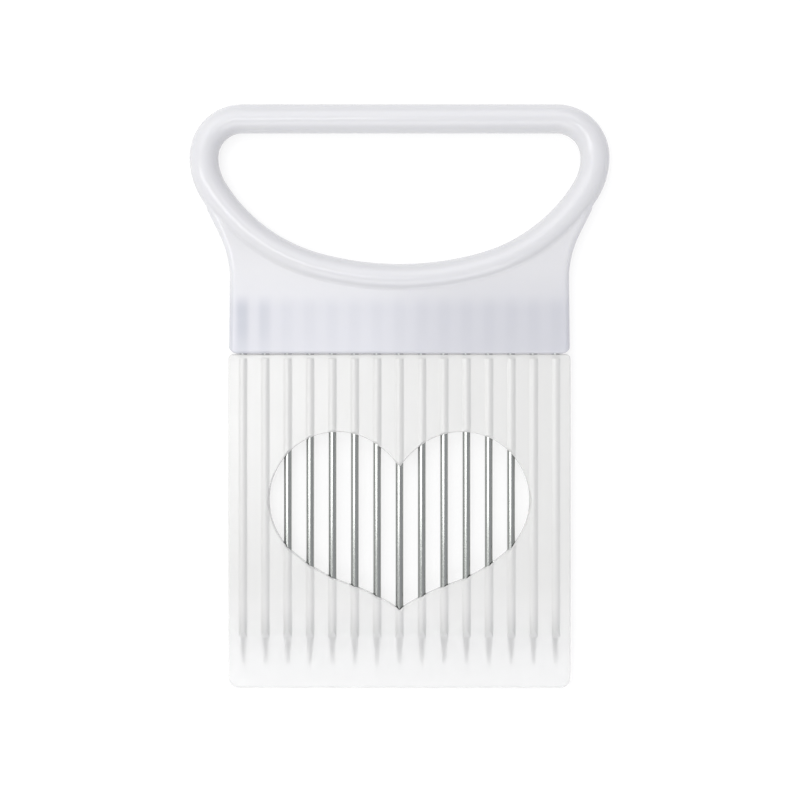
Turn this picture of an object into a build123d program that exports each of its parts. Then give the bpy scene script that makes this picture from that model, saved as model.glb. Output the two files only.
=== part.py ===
"""Pronged vegetable and egg holder: a comb of steel tines moulded into a loop handle, with a push-on sheath.

The comb is pushed into the food and its tines guide the knife. The tool lies flat: X runs across it,
Y runs from the sheath's foot to the handle, and Z points up from the table. The origin is on the table
under the middle of the tool. All sizes are in millimetres.
"""

import os
from math import cos, radians, sin

from build123d import *

# Driving sizes of the whole tool
overall_width = 80.0
overall_length = 111.0
sheath_width = 65.0
seam_y = 8.0  # the handle's foot, where the sheath stops
top_y = overall_length / 2
foot_y = -overall_length / 2

# The loop's round bead: arcs of its centreline from the bottom middle, up the side, to the straight top bar
bead_radius = 2.75
mid_z = bead_radius  # every part is centred on this height
cradle_radius, cradle_angle = 59.75, 15.6
flank_angle = 42.7
shoulder_radius = 12.0
corner_radius = 7.3

# The web that joins the loop to the tine roots
web_thickness = 3.6
web_foot_width = 64.8
neck_width = 64.5
side_slope = 26.5  # degrees from the tool's axis
side_concave_radius = 19.0
side_inset = 0.12  # keeps the web's side just under the bead's skin where it leaves the loop
web_corner_radius = 1.7
foot_form_flare = 0.3
web_side_round = 1.15
web_foot_round = 0.45
crease_radius = 0.8

# Tines
tine_count = 15
tine_pitch = 4.25
tine_radius = 0.75
root_y = 18.2
taper_y = -44.7  # where the ground point starts
tip_y = -49.8
tip_radius = 0.06

# Sheath
seam_gap = 0.1
plate_thickness = 2.4
plate_foot_corner = 2.0
plate_mouth_corner = 0.9
plate_edge_round = 0.3
rim_length = 0.85  # plain band at the mouth
ridge_radius = 1.42
ridge_blend = 0.5  # hollow fillet between a ridge and the plate
ridge_margin = 1.2  # how far the ridges' cross-section reaches past the outer tines
ridge_end_length = 1.2  # how soon a ridge sinks into the plate where its tine starts to taper
bore_radius = 0.84
bore_end_radius = 0.3
bore_end_y = -50.9
bore_taper_lag = 0.3  # the bore narrows this far beyond the start of the tine's taper
mouth_funnel_radius = 1.0
window_funnel_radius = 1.15
funnel_length = 0.8
funnel_overrun = 0.5  # how far a funnel's cut starts inside the window

# Heart window: radius and turn of each arc from its cleft, over the right lobe, to its point
cleft_y = -13.56
cleft_heading = 55.0  # degrees up from the X axis
lobe_arcs = [(17.56, -20.7), (12.98, -172.8), (31.16, -22.6), (42.66, 14.7)]
heart_point_y = -40.56
window_half_width = 24.0  # tines inside this cross the window
window_chamfer = 0.15  # on the plate's edge; it runs on up across the ridges

form_margin = 1.0  # how far a cutting form reaches past what it cuts
tolerance = 0.01

mouth_y = seam_y - seam_gap
tine_x = [(i - (tine_count - 1) / 2) * tine_pitch for i in range(tine_count)]
os.makedirs("parts", exist_ok=True)


def write(part, name):
    """Labels one finished piece and writes it as its own file."""
    part.label = name
    export_step(part, f"parts/{name}.step")


def turned(x, profile):
    """A round solid about one tine's axis. The profile is a list of (radius, y) points."""
    with BuildPart() as solid:
        with BuildSketch(Plane((x, 0, mid_z))):
            with BuildLine():
                Polyline(*profile, close=True)
            make_face()
        revolve(axis=Axis((x, 0, mid_z), (0, 1, 0)))
    return solid.part


def on_web_faces(edge):
    """Whether an edge lies in the web's top or bottom face."""
    return abs(abs(edge.center().Z - mid_z) - web_thickness / 2) < tolerance


# The loop's centreline. The flank's radius is the one that brings it out to the tool's width.
flank_end = cradle_angle + flank_angle
loop_half_width = overall_width / 2 - bead_radius
cradle_reach = cradle_radius * sin(radians(cradle_angle))
shoulder_reach = shoulder_radius * (1 - sin(radians(flank_end)))
flank_radius = (loop_half_width - cradle_reach - shoulder_reach) / (
    sin(radians(flank_end)) - sin(radians(cradle_angle))
)
side_rise = (
    cradle_radius * (1 - cos(radians(cradle_angle)))
    + flank_radius * (cos(radians(cradle_angle)) - cos(radians(flank_end)))
    + shoulder_radius * cos(radians(flank_end))
)
bar_y = top_y - bead_radius
widest_y = bar_y - corner_radius
loop_bottom_y = widest_y - side_rise

with BuildLine(Plane.XY.offset(mid_z)) as loop_half:
    cradle = JernArc((0, loop_bottom_y), (1, 0), cradle_radius, cradle_angle)
    flank = JernArc(cradle @ 1, cradle % 1, flank_radius, flank_angle)
    shoulder = JernArc(flank @ 1, flank % 1, shoulder_radius, 90 - flank_end)
    corner = JernArc(shoulder @ 1, shoulder % 1, corner_radius, 90)
    Line(corner @ 1, (0, bar_y))

with BuildPart() as bead:
    with BuildSketch(Plane((0, loop_bottom_y, mid_z), x_dir=(0, 1, 0), z_dir=(1, 0, 0))):
        Circle(bead_radius)
    sweep(path=loop_half.wire())
    mirror(about=Plane.YZ)

# The web's side leaves the loop's outside on a tangent and curves in to the neck
leave_radius = shoulder_radius + bead_radius - side_inset
leave_x = loop_half_width - shoulder_radius + leave_radius * cos(radians(side_slope))
leave_y = widest_y - leave_radius * sin(radians(side_slope))
side_end_x = neck_width / 2 + side_concave_radius * (1 - cos(radians(side_slope)))
side_length = (leave_x - side_end_x) / sin(radians(side_slope))
down_side = (-sin(radians(side_slope)), -cos(radians(side_slope)))

with BuildPart() as web:
    with BuildSketch(Plane.XY.offset(mid_z - web_thickness / 2)):
        with BuildLine():
            web_cradle = JernArc((0, loop_bottom_y), (1, 0), cradle_radius, cradle_angle)
            web_flank = JernArc(web_cradle @ 1, web_cradle % 1, flank_radius, flank_angle)
            side = PolarLine((leave_x, leave_y), side_length, direction=down_side)
            Line(web_flank @ 1, side @ 0)
            neck = JernArc(side @ 1, side % 1, side_concave_radius, side_slope)
            Polyline(neck @ 1, (web_foot_width / 2, seam_y), (0, seam_y), (0, loop_bottom_y))
        make_face()
        mirror(about=Plane.YZ)
    extrude(amount=web_thickness)
    side_edges = edges().filter_by(on_web_faces)
    side_edges = side_edges.filter_by(lambda edge: abs(edge.center().X) > neck_width / 2 - tolerance)
    side_edges = side_edges.filter_by(lambda edge: edge.center().Y < leave_y)
    fillet(side_edges, web_side_round)

# A block with rounded corners and edges that trims the web's foot to shape. It widens away from the foot,
# so that it leaves the web's sides alone.
with BuildPart() as foot_form:
    with BuildSketch(Plane.XY.offset(mid_z - web_thickness / 2)):
        with BuildLine():
            Polyline(
                (0, seam_y),
                (web_foot_width / 2, seam_y),
                (web_foot_width / 2 + foot_form_flare, root_y),
                (overall_width / 2 + form_margin, top_y),
                (0, top_y),
                close=True,
            )
        make_face()
        mirror(about=Plane.YZ)
        foot_corners = vertices().group_by(Axis.Y)[0].filter_by(lambda corner: abs(corner.X) > tolerance)
        fillet(foot_corners, web_corner_radius)
    extrude(amount=web_thickness)
    fillet(edges().filter_by(on_web_faces).group_by(Axis.Y)[0], web_foot_round)

tine_profile = [
    (0, root_y),
    (tine_radius, root_y),
    (tine_radius, taper_y),
    (tip_radius, tip_y),
    (0, tip_y),
]
tines = [turned(x, tine_profile) for x in tine_x]
for number, tine in enumerate(tines, start=1):
    write(tine, f"tine_{number:02d}")

with BuildPart() as handle:
    add(web.part)
    add(foot_form.part, mode=Mode.INTERSECT)
    add(bead.part)
    arcs = handle.edges().filter_by(on_web_faces).filter_by(GeomType.CIRCLE)
    fillet(arcs.filter_by(lambda arc: arc.radius > flank_radius), crease_radius)
    add(tines, mode=Mode.SUBTRACT)
write(handle.part, "handle")

# The heart's last arc is followed by a straight run to its point
with BuildSketch() as heart:
    with BuildLine():
        here = (0, cleft_y)
        heading = (cos(radians(cleft_heading)), sin(radians(cleft_heading)))
        for radius, turn in lobe_arcs:
            arc = JernArc(here, heading, radius, turn)
            here, heading = arc @ 1, arc % 1
        Polyline(here, (0, heart_point_y), (0, cleft_y))
    make_face()
    mirror(about=Plane.YZ)

# The window's wall is upright, with both its edges bevelled outwards
bevel_z = mid_z + plate_thickness / 2 - window_chamfer
bevel_height = ridge_radius + form_margin - (bevel_z - mid_z)

with BuildPart() as window:
    add(heart.sketch)
    extrude(amount=2 * mid_z)
    with BuildSketch(Plane.XY.offset(bevel_z)):
        add(heart.sketch)
    extrude(amount=bevel_height, taper=-45)
    mirror(about=Plane.XY.offset(mid_z))

# A round wall along every tine stands out of the sheath's plate as a ridge
ridges_start_y = mouth_y - rim_length
ridges_end_y = taper_y - ridge_end_length
ridges_width = tine_x[-1] - tine_x[0] + 2 * ridge_margin

with BuildPart() as ridges:
    with BuildSketch(Plane((0, ridges_start_y, mid_z), x_dir=(1, 0, 0), z_dir=(0, -1, 0))):
        Rectangle(ridges_width, plate_thickness)
        with Locations([(x, 0) for x in tine_x]):
            Circle(ridge_radius)
        ridge_feet = vertices().filter_by(lambda foot: abs(foot.X) < ridges_width / 2 - tolerance)
        fillet(ridge_feet, ridge_blend)
    extrude(amount=ridges_start_y - ridges_end_y)

# A ramp that takes the ridges down to the plate where the tines taper
with BuildPart() as ramp:
    with BuildSketch(Plane.YZ):
        with BuildLine():
            Polyline(
                (taper_y, mid_z + ridge_radius),
                (ridges_end_y, mid_z + plate_thickness / 2),
                (ridges_end_y - form_margin, mid_z + plate_thickness / 2),
                (ridges_end_y - form_margin, mid_z + ridge_radius + form_margin),
                (taper_y, mid_z + ridge_radius + form_margin),
                close=True,
            )
        make_face()
    extrude(amount=sheath_width / 2, both=True)
    mirror(about=Plane.XY.offset(mid_z))

# Each bore is blind, and opens to a funnel at the mouth
bore_profile = [
    (0, mouth_y),
    (mouth_funnel_radius, mouth_y),
    (bore_radius, mouth_y - funnel_length),
    (bore_radius, taper_y - bore_taper_lag),
    (bore_end_radius, bore_end_y),
    (0, bore_end_y),
]


def window_funnel(x):
    """The funnel that leads one tine into the window's lower edge."""
    crossing = heart.face() & Edge.make_line((x, foot_y, 0), (x, mouth_y, 0))
    edge_y = crossing.edge().bounding_box().min.Y
    return turned(
        x,
        [
            (0, edge_y + funnel_overrun),
            (window_funnel_radius, edge_y + funnel_overrun),
            (window_funnel_radius, edge_y),
            (bore_radius - tolerance, edge_y - funnel_length),
            (0, edge_y - funnel_length),
        ],
    )


with BuildPart() as sheath:
    with BuildSketch(Plane.XY.offset(mid_z - plate_thickness / 2)):
        with Locations((0, (foot_y + mouth_y) / 2)):
            Rectangle(sheath_width, mouth_y - foot_y)
        fillet(vertices().group_by(Axis.Y)[0], plate_foot_corner)
        fillet(vertices().group_by(Axis.Y)[-1], plate_mouth_corner)
    extrude(amount=plate_thickness)
    fillet(faces().filter_by(Axis.Z).edges(), plate_edge_round)
    add(ridges.part)
    add(ramp.part, mode=Mode.SUBTRACT)
    add(window.part, mode=Mode.SUBTRACT)
    add([turned(x, bore_profile) for x in tine_x], mode=Mode.SUBTRACT)
    add([window_funnel(x) for x in tine_x if abs(x) < window_half_width], mode=Mode.SUBTRACT)
write(sheath.part, "sheath")
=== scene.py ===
import math

import bpy
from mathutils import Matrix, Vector


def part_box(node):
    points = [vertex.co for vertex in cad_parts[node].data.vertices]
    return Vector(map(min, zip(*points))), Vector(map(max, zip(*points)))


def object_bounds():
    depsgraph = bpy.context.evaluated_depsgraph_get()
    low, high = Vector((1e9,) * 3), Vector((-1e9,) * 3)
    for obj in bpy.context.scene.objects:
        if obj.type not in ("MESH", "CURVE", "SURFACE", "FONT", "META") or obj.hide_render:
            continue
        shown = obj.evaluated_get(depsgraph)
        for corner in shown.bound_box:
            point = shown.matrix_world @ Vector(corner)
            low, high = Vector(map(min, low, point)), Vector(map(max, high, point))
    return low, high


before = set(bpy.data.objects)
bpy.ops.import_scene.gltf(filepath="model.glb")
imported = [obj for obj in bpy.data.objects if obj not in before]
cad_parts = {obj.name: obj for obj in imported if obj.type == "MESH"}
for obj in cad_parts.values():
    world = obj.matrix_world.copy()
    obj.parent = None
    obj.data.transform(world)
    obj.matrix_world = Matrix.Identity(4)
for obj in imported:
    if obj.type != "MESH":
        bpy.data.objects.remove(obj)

cad_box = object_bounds()

MM = 0.001

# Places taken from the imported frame, in metres. The tool lies flat, with its handle towards +Y.
low, high = cad_box
mid_z = (low.z + high.z) / 2
tine_names = sorted(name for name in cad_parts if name.startswith("tine_"))
tine_boxes = [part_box(name) for name in tine_names]
tine_pitch = (tine_boxes[-1][0].x - tine_boxes[0][0].x) / (len(tine_boxes) - 1)
seam_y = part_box("handle")[0].y
root_y = tine_boxes[0][1].y
tip_y = tine_boxes[0][0].y
taper_y = tip_y + 5.1 * MM  # where the ground point starts

# Spans over which a look changes, each from its start to its end
# Where the painted shade of the steel roots starts below the roots' line, and where its bands are
# strongest
root_shade_start_y = (root_y + 1.6 * MM, root_y - 2.2 * MM)
root_shade_strong_y = (seam_y + 0.5 * MM, seam_y + 5.5 * MM)
root_shade_strong_x = (-20 * MM, -31 * MM)
# Where the handle grows darker towards the foot
handle_darkening_y = (25 * MM, root_y)
ridges_fade_y = (taper_y + 6 * MM, taper_y - 3 * MM)
# Where the sheath's colour grows lighter with painted light towards its bottom end
bottom_light_y = (-32 * MM, tip_y - 2 * MM)
point_grinding_y = (taper_y + 0.15 * MM, taper_y - 0.15 * MM)
parting_line_off_middle = (0.09 * MM, 0.02 * MM)
backdrop_dims_x = (-0.5, 0.7)  # of the direction looked in

# Linear colours
milk_dull = (0.594, 0.594, 0.612, 1)
milk_clean = (0.616, 0.616, 0.630, 1)
# Darker, bluer milk towards the foot; below the roots' line it is painted shade of the steel inside
milk_darker_foot = (0.526, 0.530, 0.566, 1)
# Painted shade of the steel roots, seen through the milky handle
root_shade_grey = (0.41, 0.42, 0.47, 1)
frost_dull = (0.785, 0.785, 0.777, 1)
frost_clean = (0.825, 0.825, 0.815, 1)
# Painted light on the sheath's plate past the ridges
frost_painted_light = (0.93, 0.93, 0.93, 1)
steel_dull = (0.33, 0.34, 0.33, 1)
steel_bright = (0.46, 0.475, 0.46, 1)
# Painted shade on the tines' ground points
steel_point_shade = (0.09, 0.09, 0.09, 1)
paper = (0.31, 0.31, 0.31, 1)
white = (1.0, 1.0, 1.0, 1)
backdrop_bright = (0.92, 0.92, 0.92, 1)
backdrop_dim = (0.62, 0.62, 0.65, 1)

plastic_ior = 1.49

# Sockets of the Mix node, whose names repeat for each kind of data
FLOAT_A, FLOAT_B, FLOAT_RESULT = 2, 3, 0
COLOR_A, COLOR_B, COLOR_RESULT = 6, 7, 2


# ---------------------------------------------------------------- node helpers


def set_inputs(node, inputs):
    """Fills a node's sockets, by name or number, with values or with other nodes' outputs."""
    for name, value in inputs.items():
        if isinstance(value, bpy.types.NodeSocket):
            node.id_data.links.new(value, node.inputs[name])
        else:
            node.inputs[name].default_value = value


def add_node(tree, kind, inputs=None, **settings):
    node = tree.nodes.new(kind)
    for name, value in settings.items():
        setattr(node, name, value)
    set_inputs(node, inputs or {})
    return node


def math_node(tree, operation, *values):
    return add_node(tree, "ShaderNodeMath", dict(enumerate(values)), operation=operation).outputs[0]


def product(tree, first, *others):
    result = first
    for other in others:
        result = math_node(tree, "MULTIPLY", result, other)
    return result


def blend(tree, factor, at_zero, at_one):
    """A value that runs straight from at_zero to at_one with the factor."""
    return math_node(tree, "MULTIPLY_ADD", factor, at_one - at_zero, at_zero)


def weighted_sum(tree, a, weight_a, b, weight_b):
    return math_node(tree, "MULTIPLY_ADD", a, weight_a, math_node(tree, "MULTIPLY", b, weight_b))


def ramp(tree, value, span):
    """0 before the span's start, 1 after its end, smooth between. The end may be below the start."""
    start, end = span
    inputs = {"Value": value, "From Min": start, "From Max": end}
    return add_node(tree, "ShaderNodeMapRange", inputs, interpolation_type="SMOOTHSTEP").outputs["Result"]


def surface_point(tree):
    """The shaded point in the piece's own frame, so that the look moves with the piece."""
    return add_node(tree, "ShaderNodeTexCoord").outputs["Object"]


def along(tree, axis, vector):
    """A vector's X, Y or Z."""
    return add_node(tree, "ShaderNodeSeparateXYZ", {0: vector}).outputs[axis]


def noise(tree, point, size, stretch=(1, 1, 1), detail=2.0):
    """Noise from 0 to 1 with features of about the given size, drawn out along an axis by stretch."""
    scale = [1 / (size * factor) for factor in stretch]
    scaled = add_node(tree, "ShaderNodeMapping", {"Vector": point, "Scale": scale}).outputs[0]
    inputs = {"Vector": scaled, "Scale": 1.0, "Detail": detail}
    return add_node(tree, "ShaderNodeTexNoise", inputs).outputs["Fac"]


def mix_values(tree, factor, a, b):
    inputs = {"Factor": factor, FLOAT_A: a, FLOAT_B: b}
    return add_node(tree, "ShaderNodeMix", inputs, data_type="FLOAT").outputs[FLOAT_RESULT]


def mix_colors(tree, factor, a, b):
    inputs = {"Factor": factor, COLOR_A: a, COLOR_B: b}
    return add_node(tree, "ShaderNodeMix", inputs, data_type="RGBA").outputs[COLOR_RESULT]


def bump(tree, height, depth):
    """A normal from a height of 0 to 1 that stands for depth metres."""
    inputs = {"Height": height, "Distance": depth, "Strength": 1.0}
    return add_node(tree, "ShaderNodeBump", inputs).outputs["Normal"]


def new_material(name):
    material = bpy.data.materials.new(name)
    material.use_nodes = True
    tree = material.node_tree
    return material, tree, tree.nodes["Principled BSDF"]


# ---------------------------------------------------------------- materials


def root_shade_bands(tree, x, y):
    """How strong the painted shade of the steel roots is, in bands over the tines. It is strongest at the
    left.
    """
    wave = math_node(tree, "COSINE", math_node(tree, "MULTIPLY", x, 2 * math.pi / tine_pitch))
    over_tine = ramp(tree, wave, (-1.0, 1.0))
    below_root = ramp(tree, y, root_shade_start_y)
    foot_strength = blend(tree, ramp(tree, y, root_shade_strong_y), 0.5, 1.0)
    side_strength = blend(tree, ramp(tree, x, root_shade_strong_x), 0.18, 0.98)
    return product(tree, over_tine, below_root, foot_strength, side_strength)


def milky_color(tree, point, x, y):
    """Milky white with slight flow clouds, darker and bluer towards the foot, and with painted shade of
    the steel roots: mostly below the roots' line, and in bands over the tines.
    """
    flow = noise(tree, point, size=14 * MM, stretch=(1, 2.5, 1))
    milk = mix_colors(tree, flow, milk_dull, milk_clean)
    # Darker towards the foot; below the roots' line this is painted shade of the steel inside.
    toward_foot = ramp(tree, y, handle_darkening_y)
    foot_darkening = weighted_sum(tree, toward_foot, 0.4, ramp(tree, y, root_shade_start_y), 0.6)
    darkened_milk = mix_colors(tree, foot_darkening, milk, milk_darker_foot)
    # Painted shade of the steel roots, in bands over the tines
    return mix_colors(tree, root_shade_bands(tree, x, y), darkened_milk, root_shade_grey)


def parting_line(tree, z):
    """1 on the thin line that the two mould halves leave at the middle height, 0 elsewhere."""
    off_middle = math_node(tree, "ABSOLUTE", math_node(tree, "SUBTRACT", z, mid_z))
    return ramp(tree, off_middle, parting_line_off_middle)


def handle_plastic():
    """Glossy milky plastic, painted with soft grey-blue bands of shade where the steel roots lie inside
    it.
    """
    material, tree, shader = new_material("handle_plastic")
    point = surface_point(tree)
    x, y, z = (along(tree, axis, point) for axis in "XYZ")

    wear = noise(tree, point, size=3 * MM, detail=4.0)
    orange_peel = noise(tree, point, size=1.6 * MM, detail=1.0)
    height = math_node(tree, "MULTIPLY_ADD", orange_peel, 0.3, parting_line(tree, z))
    look = {
        "Base Color": milky_color(tree, point, x, y),
        "Roughness": blend(tree, wear, 0.09, 0.19),
        "Normal": bump(tree, height, depth=0.04 * MM),
        "IOR": plastic_ior,
        "Subsurface Weight": 0.35,
        "Subsurface Radius": (1.0, 1.0, 1.15),
        "Subsurface Scale": 2.0 * MM,
    }
    set_inputs(shader, look)
    return material


def sheath_plastic():
    """Frosted see-through plastic: the tines show faintly under their ridges.

    Past the ridges it is clearer, so that the tines' points show through the plate, and its colour is
    lighter: painted light that brightens the plate towards its bottom end.
    """
    material, tree, shader = new_material("sheath_plastic")
    point = surface_point(tree)
    y = along(tree, "Y", point)

    cloud = noise(tree, point, size=11 * MM, stretch=(1, 2, 1))
    clouded = mix_colors(tree, cloud, frost_dull, frost_clean)
    past_ridges = ramp(tree, y, ridges_fade_y)
    # Painted light: the plate's colour is lighter past the ridges and towards its bottom end.
    painted_light = weighted_sum(tree, past_ridges, 0.4, ramp(tree, y, bottom_light_y), 0.6)
    patches = noise(tree, point, size=4 * MM, detail=3.0)
    frost = noise(tree, point, size=0.22 * MM, detail=2.0)
    look = {
        "Base Color": mix_colors(tree, painted_light, clouded, frost_painted_light),
        "Transmission Weight": blend(tree, past_ridges, 0.38, 0.62),
        "Roughness": blend(tree, patches, 0.17, 0.25),
        "Normal": bump(tree, frost, depth=0.003 * MM),
        "IOR": plastic_ior,
    }
    set_inputs(shader, look)
    return material


def tine_steel():
    """Drawn stainless wire: fine lines along its length, and grinding marks round its point, which is
    darkened with painted shade.
    """
    material, tree, shader = new_material("tine_steel")
    point = surface_point(tree)
    on_point = ramp(tree, along(tree, "Y", point), point_grinding_y)

    drawn = noise(tree, point, size=0.12 * MM, stretch=(1, 90, 1), detail=3.0)
    ground = noise(tree, point, size=0.1 * MM, stretch=(20, 1, 20), detail=2.0)
    marks = mix_values(tree, on_point, drawn, ground)
    steel_color = mix_colors(tree, marks, steel_dull, steel_bright)
    # Painted shade that darkens the point
    painted_point_shade = math_node(tree, "MULTIPLY", on_point, 0.5)
    look = {
        "Base Color": mix_colors(tree, painted_point_shade, steel_color, steel_point_shade),
        "Roughness": blend(tree, marks, 0.08, 0.20),
        "Normal": bump(tree, marks, depth=0.0015 * MM),
        "Metallic": 1.0,
    }
    set_inputs(shader, look)
    return material


def floor_paper():
    """Pale seamless paper with a very fine tooth. It glows, so that the tool's shadow stays faint."""
    material, tree, shader = new_material("floor_paper")
    tooth = noise(tree, surface_point(tree), size=0.8 * MM, detail=2.0)
    look = {
        "Base Color": paper,
        "Normal": bump(tree, tooth, depth=0.01 * MM),
        "Emission Color": white,
        "Emission Strength": 0.68,
        "Roughness": 0.8,
        "Specular IOR Level": 0.2,
    }
    set_inputs(shader, look)
    return material


def paint(obj, material):
    obj.data.materials.clear()
    obj.data.materials.append(material)


def even_normals(obj):
    """Makes broad flat faces shade flat, so that only the rounds and blends beside them turn the light."""
    weighted = obj.modifiers.new("even_normals", "WEIGHTED_NORMAL")
    weighted.keep_sharp = True
    weighted.weight = 80


for name in ("handle", "sheath"):
    even_normals(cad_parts[name])

paint(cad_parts["handle"], handle_plastic())
paint(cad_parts["sheath"], sheath_plastic())
steel = tine_steel()
for name in tine_names:
    paint(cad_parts[name], steel)


# ---------------------------------------------------------------- stage, lights and camera


def place_in_scene(name, data):
    obj = bpy.data.objects.new(name, data)
    bpy.context.scene.collection.objects.link(obj)
    return obj


def make_floor():
    half = 3.0
    clearance = 0.02 * MM  # keeps the floor's surface apart from the tool's underside
    corners = [(-half, -half, 0), (half, -half, 0), (half, half, 0), (-half, half, 0)]
    mesh = bpy.data.meshes.new("floor")
    mesh.from_pydata(corners, [], [(0, 1, 2, 3)])
    floor = place_in_scene("floor", mesh)
    floor.location.z = low.z - clearance
    paint(floor, floor_paper())


def softbox(name, place, width, height, power):
    """A rectangular light at place, aimed at the tool. Sizes are in metres, power in watts."""
    light = bpy.data.lights.new(name, "AREA")
    light.shape = "RECTANGLE"
    light.size = width
    light.size_y = height
    light.energy = power
    lamp = place_in_scene(name, light)
    lamp.location = place
    lamp.rotation_euler = (-Vector(place)).to_track_quat("-Z", "Y").to_euler()


def make_world():
    """A pale studio all round, brighter at the left than at the right."""
    world = bpy.data.worlds.new("studio")
    world.use_nodes = True
    tree = world.node_tree
    direction = add_node(tree, "ShaderNodeTexCoord").outputs["Generated"]
    dimming = ramp(tree, along(tree, "X", direction), backdrop_dims_x)
    color = mix_colors(tree, dimming, backdrop_bright, backdrop_dim)
    set_inputs(tree.nodes["Background"], {"Color": color, "Strength": 1.0})
    bpy.context.scene.world = world


def make_camera():
    """Looks straight down on the tool."""
    field = 152.4 * MM  # width seen at the tool's middle height
    aim_x, aim_y = 0.1 * MM, -0.8 * MM
    camera = bpy.data.cameras.new("camera")
    camera.lens = 85
    camera.clip_start = 0.01
    distance = field * camera.lens / camera.sensor_width
    eye = place_in_scene("camera", camera)
    eye.location = (aim_x, aim_y, mid_z + distance)
    bpy.context.scene.camera = eye


make_floor()
softbox("key", place=(-0.14, 0.42, 0.60), width=0.80, height=0.55, power=1.9)
softbox("fill", place=(0.05, -0.50, 0.62), width=0.60, height=0.40, power=1.2)
softbox("strip", place=(-0.27, 0.0, 0.62), width=0.14, height=0.60, power=1.0)
make_world()
make_camera()
bpy.context.scene.view_settings.view_transform = "Standard"
